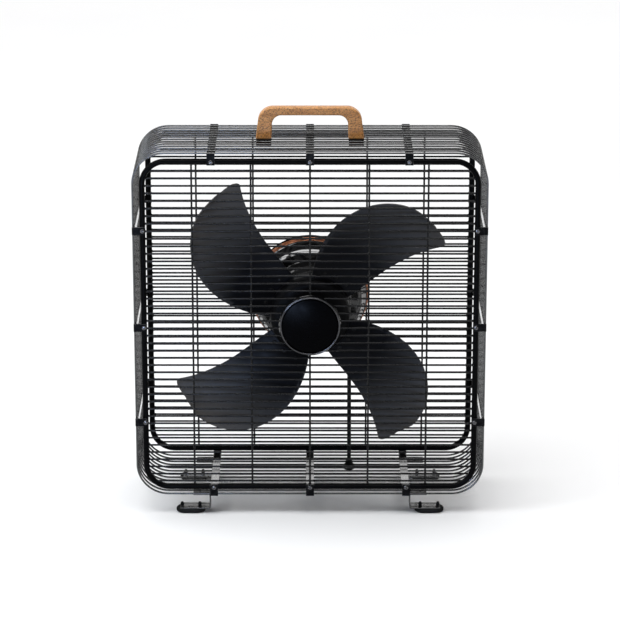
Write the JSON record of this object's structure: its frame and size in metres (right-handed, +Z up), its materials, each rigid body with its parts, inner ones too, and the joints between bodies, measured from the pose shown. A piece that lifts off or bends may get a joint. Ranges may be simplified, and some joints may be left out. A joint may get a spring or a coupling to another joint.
{
  "type": "box fan",
  "caption": "Square wire-cage box fan with flat wire grilles, curved blades on a rear motor, a wooden carrying handle and rubber feet.",
  "frame": {"origin": "on the ground under the middle of the fan", "axes": "+Z up, the front grille faces -Y, +X to the right seen from the front"},
  "size_m": [0.52, 0.192, 0.611],
  "materials": {
    "black_wire": "gloss black enamel on welded steel wire",
    "black_sheet": "satin black enamel on folded steel sheet",
    "screw_steel": "zinc-plated screw heads",
    "badge_rim": "black bevel, polished",
    "badge_gloss": "high gloss black, plain",
    "handle_wood": "warm brown, fine dark flecks, satin oil",
    "black_rubber": "matt",
    "motor_gloss": "gloss black enamel",
    "core_steel": "stacked laminations",
    "winding_copper": "varnished copper wire",
    "bearing_bronze": "sintered bronze",
    "shaft_steel": "ground steel",
    "black_plastic": "moulded black",
    "blade_coat": "satin charcoal coat on pressed sheet",
    "lead_sheath": "smooth black sheath"
  },
  "bodies": {
    "fan_frame": {"badge_backing_plate": "black_sheet", "badge_face": "badge_gloss", "badge_rim": "badge_rim", "body_cage": "black_wire", "cage_lead_gland": "black_rubber", "foot_bracket_front_left": "black_sheet", "foot_bracket_front_right": "black_sheet", "foot_bracket_rear_left": "black_sheet", "foot_bracket_rear_right": "black_sheet", "foot_pad_front_left": "black_rubber", "foot_pad_front_right": "black_rubber", "foot_pad_rear_left": "black_rubber", "foot_pad_rear_right": "black_rubber", "front_bearing": "bearing_bronze", "front_grille": "black_wire", "front_grille_screw_01": "screw_steel", "front_grille_screw_02": "screw_steel", "front_grille_screw_03": "screw_steel", "front_grille_screw_04": "screw_steel", "front_grille_screw_05": "screw_steel", "front_grille_screw_06": "screw_steel", "front_grille_screw_07": "screw_steel", "front_grille_screw_08": "screw_steel", "front_grille_screw_09": "screw_steel", "front_grille_screw_10": "screw_steel", "front_grille_screw_11": "screw_steel", "front_grille_screw_12": "screw_steel", "handle_bolt_left": "screw_steel", "handle_bolt_right": "screw_steel", "handle_grip": "handle_wood", "handle_pad_left": "black_rubber", "handle_pad_right": "black_rubber", "handle_plate_left": "black_sheet", "handle_plate_right": "black_sheet", "motor_bolt_1": "screw_steel", "motor_bolt_2": "screw_steel", "motor_bolt_3": "screw_steel", "motor_bolt_4": "screw_steel", "motor_front_bell": "motor_gloss", "motor_lead": "lead_sheath", "motor_lead_gland": "black_rubber", "motor_mount_plate": "black_sheet", "motor_rear_bell": "motor_gloss", "rear_bearing": "bearing_bronze", "rear_grille": "black_wire", "run_capacitor": "black_plastic", "speed_switch": "black_plastic", "stator_core": "core_steel", "stator_windings": "winding_copper"},
    "rotor": {"fan_hub": "black_plastic", "fan_blade_1": "blade_coat", "fan_blade_2": "blade_coat", "fan_blade_3": "blade_coat", "fan_blade_4": "blade_coat", "spinner_nut": "black_plastic", "motor_shaft": "shaft_steel", "armature_core": "core_steel"},
    "knob": {"speed_knob": "black_plastic"}
  },
  "joints": [
    {"name": "rotor_spin", "type": "hinge", "parent": "fan_frame", "child": "rotor", "pos_m": [0, 0, 0.29972], "axis": [0, 1, 0], "continuous": true},
    {"name": "speed_knob_turn", "type": "hinge", "parent": "fan_frame", "child": "knob", "pos_m": [-0.02, 0.0885, 0.27684], "axis": [0, -1, 0], "range_deg": [0, 135]}
  ]
}
